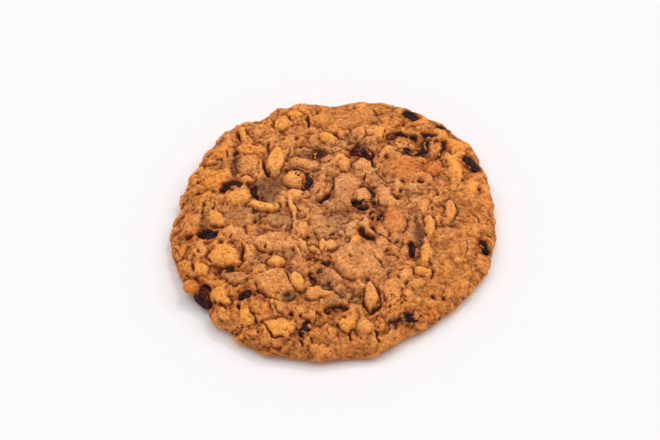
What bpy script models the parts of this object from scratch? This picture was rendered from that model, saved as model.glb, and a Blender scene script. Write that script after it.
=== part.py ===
"""An oatmeal raisin cookie: one flat round of baked dough, with raisins seated in its top and rim.

Lengths are in millimetres until MM turns them into metres. +Z is up and the origin is the centre
of the flat underside. Places on the crust are given on its unrolled map: the distance along the
crust from the crown, and the bearing, written as x and y. On the flat of the top the map is the
plan view, and past the shoulder it goes on down the rim.
"""

import math
from collections import namedtuple

import bmesh
import bpy
import numpy as np
from mathutils import Matrix, Vector, noise

MM = 0.001

# The round of dough
RIM_RADIUS = 44.6
CROWN_HEIGHT = 8.6
WAIST_HEIGHT = 2.7
BASE_RADIUS = 42.2
CROWN_FLATNESS = 5.0
SECTION_STEPS = 120

# How the icosphere's faces are shared between the crust and the flat underside
DOUGH_SUBDIVISIONS = 5
CRUST_COLATITUDE = math.radians(138)

# The crust's unevenness, which dies out just above the base
SWELL_WAVELENGTH = 15.0
SWELL_HEIGHT = 0.55
RIPPLE_WAVELENGTH = 5.5
RIPPLE_HEIGHT = 0.5
RELIEF_STARTS_AT = 0.4
RELIEF_FULL_AT = 2.6

# The rim's own bulges and dents: bearing and half width in degrees, and how far it stands out
RIM_BULGES = [
    (17, 7, 1.4),
    (39, 16, 3.8),
    (67, 14, 2.8),
    (89, 6, -1.3),
    (110, 4, 0.6),
    (120, 5, -1.0),
    (132, 10, 1.0),
    (160, 5, -1.0),
    (174, 4, -0.9),
    (198, 18, 1.4),
    (218, 4, -1.4),
    (225, 4, 1.0),
    (243, 13, 1.9),
    (283, 4, 0.6),
    (298, 11, -2.0),
    (319, 14, -1.9),
]
# Bulges fade out towards the crown between these two distances from it
BULGE_STARTS_AT = 12.0
BULGE_FULL_AT = 40.0

Lump = namedtuple("Lump", "x y length width turn height")
LUMPS = [
    Lump(-27, 6, 9, 7, 20, 0.9),
    Lump(-25, 20, 10, 9, 70, 0.9),
    Lump(-16.5, 18, 10, 6, 80, 0.8),
    Lump(-11, 12, 8, 6, -20, 0.9),
    Lump(-30, -14, 10, 9, 0, 0.9),
    Lump(-16, -16, 8, 6, 0, 0.6),
    Lump(-15, -8, 13, 6, 0, 0.6),
    Lump(-15, -38, 10, 7, 0, 1.0),
    Lump(-22, -36, 11, 5, -50, 0.7),
    Lump(-18, -24, 13, 8, -15, 0.8),
    Lump(8, 6, 9, 8, 0, 1.0),
    Lump(16, -2, 8, 14, 0, 0.7),
    Lump(8, -19, 17, 14, -20, 0.9),
    Lump(15, -10, 12, 8, -30, 0.6),
    Lump(21, 17, 15, 7, 0, 0.9),
    Lump(27, -8, 6, 15, 0, 0.7),
    Lump(-2, 30, 10, 8, 0, 0.5),
    Lump(34, 10, 12, 10, 0, 0.5),
]
# Hollows are lumps of negative height
HOLLOWS = [
    Lump(-19, 8, 9, 12, 0, -1.4),
    Lump(-4.5, 20.5, 7, 6, 0, -0.8),
    Lump(-1.5, -24, 6, 9, 0, -1.1),
    Lump(22.5, -8, 4, 12, 0, -1.0),
    Lump(1, -31, 9, 6, 0, -0.9),
    Lump(-12, -28.5, 6, 5, 0, -0.9),
    Lump(8.5, -8, 5, 6, 0, -0.7),
]

# Each raisin's place on the map, its size, its turn on the crust, and how far its top stands out
Raisin = namedtuple("Raisin", "x y length width depth turn stand")
RAISINS = [
    Raisin(21.2, 35.8, 6.4, 4.4, 4.0, -56, 0.8),
    Raisin(29.6, 31.8, 4.4, 3.2, 3.2, -30, 0.6),
    Raisin(37.4, 18.8, 7.2, 5.0, 4.4, -50, 0.9),
    Raisin(18.2, 24.0, 11.2, 8.4, 5.2, -28, 1.4),
    Raisin(26.9, 23.0, 10.6, 6.4, 5.2, -80, 1.4),
    Raisin(7.6, 21.0, 6.8, 4.8, 4.2, -35, 0.7),
    Raisin(-5.0, 21.2, 5.6, 4.2, 4.0, 70, 0.3),
    Raisin(-29.2, 9.4, 6.8, 5.4, 4.6, 12, 0.7),
    Raisin(-22.6, 6.6, 8.6, 4.4, 4.4, -76, 0.5),
    Raisin(-10.2, 11.8, 8.6, 7.4, 4.4, -38, 0.7),
    Raisin(7.9, 4.6, 9.4, 7.6, 4.8, -20, 0.8),
    Raisin(11.2, -1.9, 5.4, 4.2, 4.2, 60, 0.7),
    Raisin(8.2, -8.3, 6.2, 4.4, 4.2, -58, 0.3),
    Raisin(21.4, -13.4, 8.4, 4.2, 4.4, -80, 0.5),
    Raisin(-34.2, -7.2, 6.4, 5.4, 4.6, -8, 0.9),
    Raisin(-4.6, -20.0, 10.0, 6.8, 4.8, -70, 0.6),
    Raisin(-23.5, -27.0, 5.4, 4.4, 4.0, 35, 0.4),
    Raisin(-37.5, -25.5, 9.2, 5.6, 4.8, -58, 1.6),
    Raisin(-7.9, -37.6, 5.6, 4.4, 4.0, 60, 0.5),
    Raisin(0.0, -33.0, 6.6, 4.4, 3.8, 5, 0.5),
    Raisin(21.0, -35.8, 8.2, 5.0, 4.2, 20, 0.6),
    Raisin(-29.4, -19.6, 5.2, 3.6, 3.6, 45, 0.5),
    Raisin(-2.8, 4.4, 4.4, 3.2, 3.2, 65, 0.4),
    Raisin(-39.5, -6.9, 3.2, 2.6, 2.6, 0, 0.4),
    Raisin(41.6, -9.8, 5.4, 3.4, 3.2, -62, 0.5),
]
POCKET_CLEARANCE = 0.3
LARGE_RAISIN_LENGTH = 7.0
# Segments round a raisin's length and rings along it, with a furrow at every other segment
LARGE_RAISIN_MESH = (12, 7)
SMALL_RAISIN_MESH = (8, 6)
POCKET_MESH = (8, 6)
FURROW_DEPTH = 0.14

DOUGH_COLOUR = (0.49, 0.20, 0.065, 1.0)
RAISIN_COLOUR = (0.035, 0.012, 0.009, 1.0)


def smooth_step(start, end, value):
    """0 before start and 1 after end, with an even turn between them."""
    share = min(1.0, max(0.0, (value - start) / (end - start)))
    return share * share * (3 - 2 * share)


def section_points():
    """(radius, height) along the disc's section, from the crown over the rim to the base's edge."""
    turns = np.linspace(0, math.pi / 2, SECTION_STEPS)
    upper_radius = RIM_RADIUS * np.sin(turns) ** (2 / CROWN_FLATNESS)
    upper_height = WAIST_HEIGHT + (CROWN_HEIGHT - WAIST_HEIGHT) * np.cos(turns)
    lower_radius = BASE_RADIUS + (RIM_RADIUS - BASE_RADIUS) * np.cos(turns)
    lower_height = WAIST_HEIGHT * (1 - np.sin(turns))
    radius = np.concatenate([upper_radius, lower_radius[1:]])
    height = np.concatenate([upper_height, lower_height[1:]])
    return radius, height


SECTION_RADIUS, SECTION_HEIGHT = section_points()
SECTION_REACH = np.concatenate(
    [[0.0], np.cumsum(np.hypot(np.diff(SECTION_RADIUS), np.diff(SECTION_HEIGHT)))]
)
CRUST_REACH = float(SECTION_REACH[-1])


def section_at(reach):
    """(radius, height) of the section at this distance along the crust from the crown."""
    radius = float(np.interp(reach, SECTION_REACH, SECTION_RADIUS))
    height = float(np.interp(reach, SECTION_REACH, SECTION_HEIGHT))
    return radius, height


def rim_stretch(bearing, reach):
    """How much wider than a true circle the dough is at this bearing and distance from the crown."""
    bulge = 0.0
    for centre, half_width, stands_out in RIM_BULGES:
        off = (math.degrees(bearing) - centre + 180) % 360 - 180
        bulge += stands_out * math.exp(-((off / half_width) ** 2))
    return 1 + bulge / RIM_RADIUS * smooth_step(BULGE_STARTS_AT, BULGE_FULL_AT, reach)


def mound(lump, x, y):
    """How far a lump raises the crust at a place on the map."""
    turn = math.radians(lump.turn)
    along = (x - lump.x) * math.cos(turn) + (y - lump.y) * math.sin(turn)
    across = (y - lump.y) * math.cos(turn) - (x - lump.x) * math.sin(turn)
    inside = 1 - (2 * along / lump.length) ** 2 - (2 * across / lump.width) ** 2
    return lump.height * max(0.0, inside) ** 0.7


def relief(x, y, height):
    """How far the crust stands out from the smooth disc at a place on the map."""
    swell = noise.noise(Vector((x, y, 0)) / SWELL_WAVELENGTH) * SWELL_HEIGHT
    ripple = noise.noise(Vector((x, y, 9)) / RIPPLE_WAVELENGTH) * RIPPLE_HEIGHT
    lumps = sum(mound(lump, x, y) for lump in LUMPS + HOLLOWS)
    return (swell + ripple + lumps) * smooth_step(RELIEF_STARTS_AT, RELIEF_FULL_AT, height)


def crust_frame(x, y):
    """(point, outward normal) of the crust at a place on the map."""
    reach = math.hypot(x, y)
    bearing = math.atan2(y, x)
    radius, height = section_at(reach)
    before = section_at(max(0.0, reach - 0.5))
    after = section_at(min(CRUST_REACH, reach + 0.5))
    run, fall = after[0] - before[0], before[1] - after[1]
    outward = Vector((math.cos(bearing), math.sin(bearing), 0))
    normal = (outward * fall + Vector((0, 0, run))).normalized()
    smooth_point = outward * radius * rim_stretch(bearing, reach) + Vector((0, 0, height))
    return smooth_point + normal * relief(x, y, height), normal


def base_point(colatitude, bearing):
    """A point of the flat underside, for a direction below the crust's edge."""
    share = math.cos(colatitude / 2) / math.cos(CRUST_COLATITUDE / 2)
    radius = BASE_RADIUS * share * rim_stretch(bearing, CRUST_REACH)
    return Vector((radius * math.cos(bearing), radius * math.sin(bearing), 0))


def dough_point(direction):
    """Where a direction from the centre of a sphere lands on the cookie's skin."""
    colatitude = math.acos(max(-1.0, min(1.0, direction.z)))
    bearing = math.atan2(direction.y, direction.x)
    if colatitude >= CRUST_COLATITUDE:
        return base_point(colatitude, bearing)
    reach = CRUST_REACH * math.sin(colatitude / 2) / math.sin(CRUST_COLATITUDE / 2)
    return crust_frame(reach * math.cos(bearing), reach * math.sin(bearing))[0]


def material(name, colour, roughness):
    made = bpy.data.materials.new(name)
    made.use_nodes = True
    shader = made.node_tree.nodes["Principled BSDF"]
    shader.inputs["Base Color"].default_value = colour
    shader.inputs["Roughness"].default_value = roughness
    shader.inputs["Metallic"].default_value = 0.0
    return made


def add_object(name, bm, collection, skin=None):
    """Turns bm, which is in millimetres, into a smooth-shaded object in metres."""
    bmesh.ops.scale(bm, vec=(MM, MM, MM), verts=bm.verts)
    mesh = bpy.data.meshes.new(name)
    bm.to_mesh(mesh)
    bm.free()
    mesh.shade_smooth()
    if skin:
        mesh.materials.append(skin)
    made = bpy.data.objects.new(name, mesh)
    collection.objects.link(made)
    return made


def make_dough(collection):
    bm = bmesh.new()
    bmesh.ops.create_icosphere(bm, subdivisions=DOUGH_SUBDIVISIONS, radius=1)
    for vertex in bm.verts:
        vertex.co = dough_point(vertex.co.normalized())
    return add_object("dough", bm, collection, material("baked_dough", DOUGH_COLOUR, 0.75))


def seat_matrix(raisin):
    """The raisin's own frame: its middle sunk under the crust, and its Z along the crust's normal."""
    point, normal = crust_frame(raisin.x, raisin.y)
    middle = point - normal * (raisin.depth / 2 - raisin.stand)
    level = Vector((0, 0, 1)).rotation_difference(normal).to_matrix().to_4x4()
    return Matrix.Translation(middle * MM) @ level @ Matrix.Rotation(math.radians(raisin.turn), 4, "Z")


def egg(half_sizes, segments, rings):
    """A sphere of facets stretched to these half sizes, with its poles on X."""
    bm = bmesh.new()
    bmesh.ops.create_uvsphere(bm, u_segments=segments, v_segments=rings, radius=1)
    bmesh.ops.rotate(bm, verts=bm.verts, matrix=Matrix.Rotation(math.pi / 2, 3, "Y"))
    bmesh.ops.scale(bm, vec=half_sizes, verts=bm.verts)
    return bm


def half_sizes(raisin):
    return Vector((raisin.length, raisin.width, raisin.depth)) / 2


def furrow(bm, segments, sizes):
    """Draws every other lengthwise row of points in towards the raisin's long axis."""
    for vertex in bm.verts:
        roll = math.atan2(vertex.co.z / sizes.z, vertex.co.y / sizes.y)
        depth = FURROW_DEPTH * (1 - math.cos(roll * segments / 2)) / 2
        vertex.co.y *= 1 - depth
        vertex.co.z *= 1 - depth


def make_raisin(name, raisin, collection, skin):
    sizes = half_sizes(raisin)
    segments, rings = LARGE_RAISIN_MESH if raisin.length >= LARGE_RAISIN_LENGTH else SMALL_RAISIN_MESH
    bm = egg(sizes, segments, rings)
    furrow(bm, segments, sizes)
    made = add_object(name, bm, collection, skin)
    made.matrix_world = seat_matrix(raisin)
    return made


def make_pocket(name, raisin, collection):
    """The cutter of a raisin's pocket, large enough for its flat facets to clear the raisin."""
    segments, rings = POCKET_MESH
    facets_reach = math.cos(math.pi / segments) * math.cos(math.pi / (2 * rings))
    sizes = half_sizes(raisin) / facets_reach + Vector((1, 1, 1)) * POCKET_CLEARANCE
    made = add_object(name, egg(sizes, segments, rings), collection)
    made.matrix_world = seat_matrix(raisin)
    made.hide_render = True
    made.display_type = "WIRE"
    return made


def new_collection(name):
    made = bpy.data.collections.new(name)
    bpy.context.scene.collection.children.link(made)
    return made


def main():
    for leftover in list(bpy.data.objects):
        bpy.data.objects.remove(leftover)
    cookie = new_collection("oatmeal_raisin_cookie")
    pockets = new_collection("raisin_pockets")
    dough = make_dough(cookie)
    raisin_skin = material("raisin_skin", RAISIN_COLOUR, 0.4)
    for number, raisin in enumerate(RAISINS, 1):
        make_raisin(f"raisin_{number:02d}", raisin, cookie, raisin_skin)
        make_pocket(f"pocket_{number:02d}", raisin, pockets)
    cut = dough.modifiers.new("raisin_pockets", "BOOLEAN")
    cut.operation = "DIFFERENCE"
    cut.operand_type = "COLLECTION"
    cut.collection = pockets


main()
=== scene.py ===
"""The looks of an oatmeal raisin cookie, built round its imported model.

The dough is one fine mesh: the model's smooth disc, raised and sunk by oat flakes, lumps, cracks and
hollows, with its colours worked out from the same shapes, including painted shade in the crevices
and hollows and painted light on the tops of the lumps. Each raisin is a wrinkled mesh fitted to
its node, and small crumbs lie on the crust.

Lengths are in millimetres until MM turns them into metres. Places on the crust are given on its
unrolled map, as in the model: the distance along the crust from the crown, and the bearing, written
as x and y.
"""

import math
import random
from collections import namedtuple

import bpy
import numpy as np
from mathutils import Matrix, Vector, noise


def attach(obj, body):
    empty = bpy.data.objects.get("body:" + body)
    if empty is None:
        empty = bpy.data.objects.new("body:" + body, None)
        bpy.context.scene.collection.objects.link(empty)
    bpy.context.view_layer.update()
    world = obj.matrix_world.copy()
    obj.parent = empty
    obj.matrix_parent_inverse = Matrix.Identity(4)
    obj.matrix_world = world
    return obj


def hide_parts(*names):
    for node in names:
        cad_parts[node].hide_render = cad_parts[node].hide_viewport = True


MM = 0.001

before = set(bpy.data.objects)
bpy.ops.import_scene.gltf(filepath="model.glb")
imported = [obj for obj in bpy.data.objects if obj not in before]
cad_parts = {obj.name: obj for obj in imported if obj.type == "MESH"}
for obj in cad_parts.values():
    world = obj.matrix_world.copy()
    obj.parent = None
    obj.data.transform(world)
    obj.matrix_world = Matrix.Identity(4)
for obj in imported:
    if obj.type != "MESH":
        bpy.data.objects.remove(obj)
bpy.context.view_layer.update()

# The model's smooth disc
RIM_RADIUS = 44.6
CROWN_HEIGHT = 8.6
WAIST_HEIGHT = 2.7
BASE_RADIUS = 42.2
CROWN_FLATNESS = 5.0
SECTION_STEPS = 240
RIM_BULGES = [
    (17, 7, 1.4),
    (39, 16, 3.8),
    (67, 14, 2.8),
    (89, 6, -1.3),
    (110, 4, 0.6),
    (120, 5, -1.0),
    (132, 10, 1.0),
    (160, 5, -1.0),
    (174, 4, -0.9),
    (198, 18, 1.4),
    (218, 4, -1.4),
    (225, 4, 1.0),
    (243, 13, 1.9),
    (283, 4, 0.6),
    (298, 11, -2.0),
    (319, 14, -1.9),
]
BULGE_STARTS_AT = 12.0
BULGE_FULL_AT = 40.0

# The dough's mesh: rings of points over the crust, and fewer over the underside
CRUST_RINGS = 168
BASE_RINGS = 40
BASE_INNER_RADIUS = 39.0

# How far up the crust its unevenness starts and is at its full height
RELIEF_STARTS_AT = 0.3
RELIEF_FULL_AT = 2.2

CAMERA_ELEVATION = 52
CAMERA_DISTANCE = 437.15
CAMERA_AIM = (-1.36, 0.65, 4.0)
CAMERA_LENS = 85


def rgb(red, green, blue):
    """A colour given as 0 to 255, turned into the linear values that shaders take."""
    parts = np.array((red, green, blue)) / 255
    return np.where(parts <= 0.04045, parts / 12.92, ((parts + 0.055) / 1.055) ** 2.4)


CRUST = rgb(207, 136, 74)
# How much a darker shade, a lighter shade and the painted shade in a hollow each change the red, green and
# blue
SHADE_BY_CHANNEL = np.array((1.0, 1.6, 2.1))
LIGHTER_BY_CHANNEL = np.array((0.8, 1.25, 2.0))
HOLLOW_SHADE_BY_CHANNEL = np.array((1.0, 1.08, 1.15))
UNDERSIDE = rgb(168, 98, 46)

# How the small flecks of redder and yellower crust differ, channel by channel
HUE_FLECK = np.array((0.0, 0.4, 0.9))

# What each hue multiplies the crust's colour by
HUES = {
    "gold": np.array((1.14, 1.08, 0.72)),
    "orange": np.array((1.08, 0.92, 0.55)),
    "russet": np.array((0.93, 0.74, 0.58)),
    # taupe is also the painted shade of the hollows under its patches
    "taupe": np.array((0.6, 0.66, 0.82)),
    "pale": np.array((1.03, 1.12, 1.45)),
    "plum": np.array((0.09, 0.06, 0.24)),
}

# The lumps, slabs and flakes that can be told apart in the crust. kind names a shape in
# lump_profile, tone is the lightness from -1 to 1, and hue names one of HUES, or crust for none.
Lump = namedtuple("Lump", "x y length width turn rise kind tone hue")
LUMPS = [
    (-38.9, -22.6, 5.6, 4.6, -40, 1.5, "dome", 0.2, "russet"),
    # left of the crown
    (-35.0, 13.0, 9.0, 9.0, 0, 0.5, "dome", 0.1, "gold"),
    (-27.2, 5.6, 8.0, 6.8, 30, 1.0, "dome", 0.35, "gold"),
    (-25.3, 12.2, 3.6, 2.6, 10, 0.9, "dome", 0.5, "gold"),
    (-20.0, 1.2, 9.5, 3.0, -8, 1.1, "flake", 0.4, "gold"),
    (-16.6, 18.4, 10.5, 5.0, 86, 0.9, "flake", 0.45, "gold"),
    (-24.6, 18.0, 8.0, 7.0, 60, 0.8, "dome", 0.1, "crust"),
    (-24.2, 22.6, 8.5, 3.6, -10, 0.8, "flake", 0.2, "gold"),
    (-13.0, 26.5, 4.0, 5.0, 0, 0.5, "dome", 0.3, "crust"),
    (-32.2, -2.2, 6.4, 3.0, -56, 0.7, "flake", 0.2, "gold"),
    (-27.0, -1.2, 8.0, 5.4, 0, 0.6, "dome", 0.0, "taupe"),
    (-27.9, -7.0, 6.2, 5.8, 60, 0.9, "dome", 0.3, "crust"),
    (-29.6, -14.4, 8.4, 8.0, 0, 1.1, "dome", 0.35, "gold"),
    (-35.5, -18.4, 3.6, 4.4, 20, 0.9, "dome", 0.5, "gold"),
    (-39.2, -16.8, 4.2, 4.0, 0, 0.7, "dome", 0.1, "crust"),
    (-36.0, -12.4, 4.0, 3.0, -40, 0.5, "flake", 0.3, "crust"),
    (-16.0, -3.6, 9.0, 5.0, 0, 0.8, "slab", -0.05, "taupe"),
    (-15.5, -10.4, 15.0, 6.6, 0, 0.7, "slab", 0.1, "crust"),
    (-11.8, 0.6, 9.4, 1.7, -80, 0.9, "flake", 0.5, "gold"),
    (-11.8, 11.0, 6.6, 4.8, -25, 1.5, "dome", 0.35, "gold"),
    (-11.2, 6.0, 5.6, 5.0, 10, 0.8, "dome", 0.3, "gold"),
    (-8.5, 17.4, 9.4, 4.6, -12, 0.9, "dome", 0.15, "crust"),
    (-9.2, -6.2, 3.6, 5.8, 0, 0.7, "flake", 0.4, "gold"),
    (-9.0, -11.4, 2.4, 4.6, 10, 0.9, "dome", 0.45, "gold"),
    (-15.7, -17.0, 5.2, 4.4, -20, 1.2, "dome", 0.35, "gold"),
    (-26.8, -22.0, 8.0, 3.2, 2, 0.9, "flake", 0.0, "taupe"),
    (-30.6, -27.0, 7.4, 3.2, -22, 0.7, "flake", 0.4, "gold"),
    (-23.2, -33.0, 5.4, 5.0, -40, 0.8, "dome", 0.4, "gold"),
    (-28.8, -32.0, 4.6, 3.4, -60, 0.6, "flake", 0.2, "crust"),
    (-14.6, -36.4, 8.4, 5.8, -8, 1.1, "dome", 0.4, "gold"),
    (-15.6, -23.2, 11.5, 8.6, -10, 0.9, "slab", 0.1, "crust"),
    (-17.6, -21.2, 3.4, 2.4, 70, 1.2, "flake", 0.2, "crust"),
    (-18.4, -30.8, 4.4, 3.4, -50, 0.5, "dome", 0.1, "gold"),
    # the middle
    (3.4, 7.6, 9.0, 13.5, 0, 0.9, "slab", 0.1, "crust"),
    (7.6, 5.4, 5.6, 5.0, 20, 1.7, "dome", 0.1, "crust"),
    (2.8, 17.4, 4.2, 5.0, 10, 0.8, "dome", 0.3, "gold"),
    (8.0, 16.5, 5.4, 4.6, -10, 1.0, "dome", 0.35, "crust"),
    (13.6, 6.2, 4.8, 7.8, 10, 0.8, "dome", 0.1, "crust"),
    (11.0, -0.5, 2.2, 2.0, 0, 1.0, "dome", -0.4, "taupe"),
    (8.4, -4.6, 3.4, 4.6, -10, 0.9, "dome", 0.25, "crust"),
    (5.4, -10.4, 2.8, 5.4, -10, 0.7, "dome", 0.25, "gold"),
    (-1.2, -11.6, 4.0, 2.6, -42, 0.8, "flake", 0.3, "crust"),
    (-3.2, -11.4, 1.5, 4.4, 0, 0.7, "flake", 0.4, "gold"),
    (-5.6, -13.4, 4.4, 2.0, -30, 0.9, "flake", 0.5, "gold"),
    (0.5, -4.0, 6.0, 7.0, 0, 0.5, "slab", 0.05, "taupe"),
    (7.0, -17.0, 15.0, 13.4, -15, 1.0, "slab", 0.1, "crust"),
    (2.0, -18.0, 4.0, 7.0, 12, 1.1, "dome", 0.15, "crust"),
    (-9.8, -23.6, 6.0, 3.2, -72, 1.3, "flake", 0.7, "gold"),
    (-5.6, -27.4, 4.4, 5.0, 0, 0.9, "dome", 0.15, "crust"),
    (-1.2, -30.2, 5.4, 4.8, 0, 0.8, "dome", -0.1, "taupe"),
    (9.5, -29.1, 8.8, 3.6, 94, 1.2, "flake", 0.4, "crust"),
    (3.4, -37.0, 4.4, 3.6, 10, 0.8, "dome", 0.25, "gold"),
    (7.6, -37.0, 5.0, 5.6, 0, 0.8, "dome", 0.25, "crust"),
    (-2.5, -37.5, 1.6, 1.4, 0, 1.0, "dome", 0.8, "crust"),
    (12.6, -37.2, 3.0, 5.2, 10, 0.7, "dome", 0.15, "russet"),
    # right of the crown
    (18.4, 15.6, 11.0, 8.2, -15, 0.8, "slab", 0.0, "russet"),
    (26.4, 15.4, 6.0, 5.8, -30, 0.7, "dome", 0.0, "russet"),
    (23.3, 17.8, 2.6, 1.6, -15, 1.4, "dome", 0.6, "gold"),
    (16.2, -3.2, 6.4, 10.4, 8, 1.0, "dome", 0.15, "russet"),
    (31.8, 0.6, 8.4, 2.9, 92, 1.2, "flake", 0.4, "crust"),
    (26.0, -4.8, 8.4, 2.8, 93, 1.0, "dome", 0.35, "gold"),
    (25.2, -14.2, 9.4, 3.2, 92, 0.8, "dome", 0.3, "gold"),
    (24.6, -20.6, 5.8, 3.6, -8, 1.1, "dome", 0.5, "gold"),
    (19.6, -22.4, 3.6, 4.2, 0, 0.8, "dome", 0.15, "crust"),
    (22.6, -25.2, 5.4, 3.2, 10, 0.6, "dome", 0.2, "crust"),
    (16.0, -27.5, 6.0, 9.0, 0, 0.7, "slab", 0.05, "crust"),
    (32.4, 16.0, 4.0, 11.0, 8, 0.7, "dome", 0.4, "gold"),
    (32.4, 24.6, 7.0, 6.0, -40, 0.7, "dome", 0.35, "gold"),
    (28.4, 28.0, 5.0, 5.0, -40, 0.6, "dome", 0.2, "gold"),
    (24.4, 34.4, 5.0, 5.0, -50, 0.8, "dome", 0.3, "gold"),
    (37.6, 9.6, 5.0, 6.0, 20, 0.5, "dome", 0.2, "gold"),
    # beyond the crown
    (12.2, 28.2, 5.0, 6.4, 0, 0.7, "dome", 0.3, "gold"),
    (14.6, 21.6, 4.0, 5.0, -30, 0.9, "dome", 0.35, "gold"),
    (7.2, 28.4, 4.0, 4.6, 0, 0.6, "dome", 0.15, "crust"),
    (-1.8, 27.4, 6.2, 4.6, -32, 1.0, "dome", 0.4, "gold"),
    (-15.4, 33.4, 4.6, 6.0, -20, 0.7, "flake", 0.4, "gold"),
    (-11.6, 37.0, 4.4, 4.0, 0, 0.7, "dome", 0.35, "gold"),
    (-21.4, 30.6, 3.0, 6.2, -10, 0.7, "flake", 0.3, "crust"),
    (-25.8, 29.0, 7.6, 1.8, -76, 1.1, "flake", 0.5, "gold"),
    (-33.6, 23.4, 5.0, 5.0, 0, 0.6, "dome", 0.2, "russet"),
    (4.0, 35.6, 14.0, 9.0, 0, 0.4, "slab", 0.1, "crust"),
    (-3.4, 36.0, 5.0, 8.0, 0, 0.5, "dome", 0.1, "crust"),
]

# Where the raisins show through the dough: each opening's width, and the points it runs through
Opening = namedtuple("Opening", "raisin width route")
OPENINGS = [
    ("raisin_01", 2.8, [(20.4, 37.0), (22.2, 34.8)]),
    ("raisin_02", 2.0, [(28.8, 32.4), (30.4, 31.4)]),
    ("raisin_03", 3.4, [(36.6, 19.6), (38.2, 18.0)]),
    ("raisin_04", 2.4, [(15.2, 25.4), (16.4, 26.8), (18.8, 26.8)]),
    ("raisin_04", 1.5, [(20.8, 26.6), (21.8, 25.6)]),
    ("raisin_04", 1.9, [(19.8, 21.0), (22.2, 20.6), (23.8, 21.4)]),
    ("raisin_05", 1.5, [(24.0, 23.6), (24.4, 21.2)]),
    ("raisin_05", 1.5, [(24.8, 26.8), (26.6, 27.0)]),
    ("raisin_05", 1.0, [(27.2, 24.8), (26.9, 22.6)]),
    ("raisin_05", 1.1, [(29.2, 24.6), (29.1, 21.6), (27.8, 19.4)]),
    ("raisin_06", 3.4, [(6.2, 22.0), (9.2, 20.0)]),
    ("raisin_07", 2.4, [(-5.4, 20.6), (-4.7, 22.0)]),
    ("raisin_08", 1.9, [(-31.9, 8.0), (-31.2, 10.4), (-28.8, 11.2), (-26.8, 10.2)]),
    ("raisin_09", 1.7, [(-24.0, 9.8), (-23.2, 7.6), (-22.2, 5.2), (-21.0, 3.8)]),
    ("raisin_10", 0.9, [(-13.2, 14.8), (-10.6, 14.7), (-8.2, 12.8), (-7.2, 10.4), (-7.6, 9.0)]),
    ("raisin_11", 1.9, [(5.4, 2.8), (6.6, 1.6), (8.2, 1.2)]),
    ("raisin_11", 1.2, [(8.0, 8.6), (10.0, 7.8), (11.0, 5.4), (11.2, 2.8)]),
    ("raisin_12", 1.0, [(9.8, -0.8), (10.7, -3.2), (12.4, -2.6), (12.8, -0.4)]),
    ("raisin_13", 2.3, [(7.4, -6.8), (8.1, -8.8), (9.5, -9.5)]),
    ("raisin_14", 1.7, [(20.9, -11.2), (21.4, -13.4), (21.6, -15.4)]),
    ("raisin_15", 3.0, [(-35.7, -6.9), (-32.9, -7.5)]),
    ("raisin_16", 1.5, [(-6.8, -16.6), (-4.6, -17.4), (-2.2, -18.0)]),
    ("raisin_16", 1.3, [(-6.9, -22.0), (-5.4, -23.6)]),
    ("raisin_16", 1.6, [(-4.8, -19.2), (-4.2, -21.0)]),
    ("raisin_17", 2.2, [(-24.1, -27.4), (-23.1, -26.8)]),
    ("raisin_18", 2.6, [(-35.2, -24.4), (-36.4, -27.2)]),
    ("raisin_18", 4.6, [(-36.8, -28.6), (-40.8, -26.0)]),
    ("raisin_19", 2.2, [(-8.6, -38.6), (-7.2, -36.6)]),
    ("raisin_20", 2.0, [(-2.0, -33.2), (2.0, -32.8)]),
    ("raisin_21", 2.9, [(19.2, -36.4), (22.8, -35.2)]),
    ("raisin_22", 2.0, [(-30.2, -20.2), (-28.8, -19.0)]),
    ("raisin_23", 1.3, [(-3.4, 3.2), (-2.3, 5.4)]),
    ("raisin_24", 1.6, [(-40.0, -6.9), (-39.0, -6.9)]),
    ("raisin_25", 1.5, [(40.9, -8.4), (42.3, -11.2)]),
]
# The dough over a covered raisin, and how far below the raisin's back an opening's floor is
DOUGH_OVER_RAISIN = 0.1
OPENING_DEPTH = 0.6
LOWEST_FLOOR = -0.2
NO_RAISIN = -9.0
RAISIN_REACH = 9.0
# How much more the lumps above stand out, in height and in lightness, than their own numbers say
NAMED_RISE = 1.4
NAMED_TONE = 1.5

# Smooth hollows, lower than the crust round them
Hollow = namedtuple("Hollow", "x y length width turn depth")
HOLLOWS = [
    (-18.4, 8.6, 9.5, 11.5, 0, 1.3),
    (-28.4, 18.0, 4.0, 11.0, 0, 0.8),
    (-6.0, 21.8, 8.0, 6.0, 0, 0.8),
    (22.8, -8.6, 4.2, 10.0, -4, 1.1),
    (-2.6, -23.6, 3.4, 8.4, 15, 1.2),
    (4.8, -28.4, 7.0, 7.0, 20, 0.9),
    (-12.2, -27.8, 4.0, 3.4, 0, 1.3),
    (-21.2, -16.4, 3.6, 5.0, 0, 0.7),
    (-5.6, -8.6, 3.6, 4.4, 0, 0.6),
    (-35.8, -2.6, 2.6, 6.0, 10, 0.8),
    (1.6, 0.4, 7.0, 3.0, 0, 0.4),
    (4.6, 25.6, 6.0, 4.0, -20, 0.7),
    (16.2, -37.6, 3.6, 4.0, 0, 0.5),
    (-8.4, 29.6, 3.6, 5.0, 0, 0.5),
]

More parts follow.
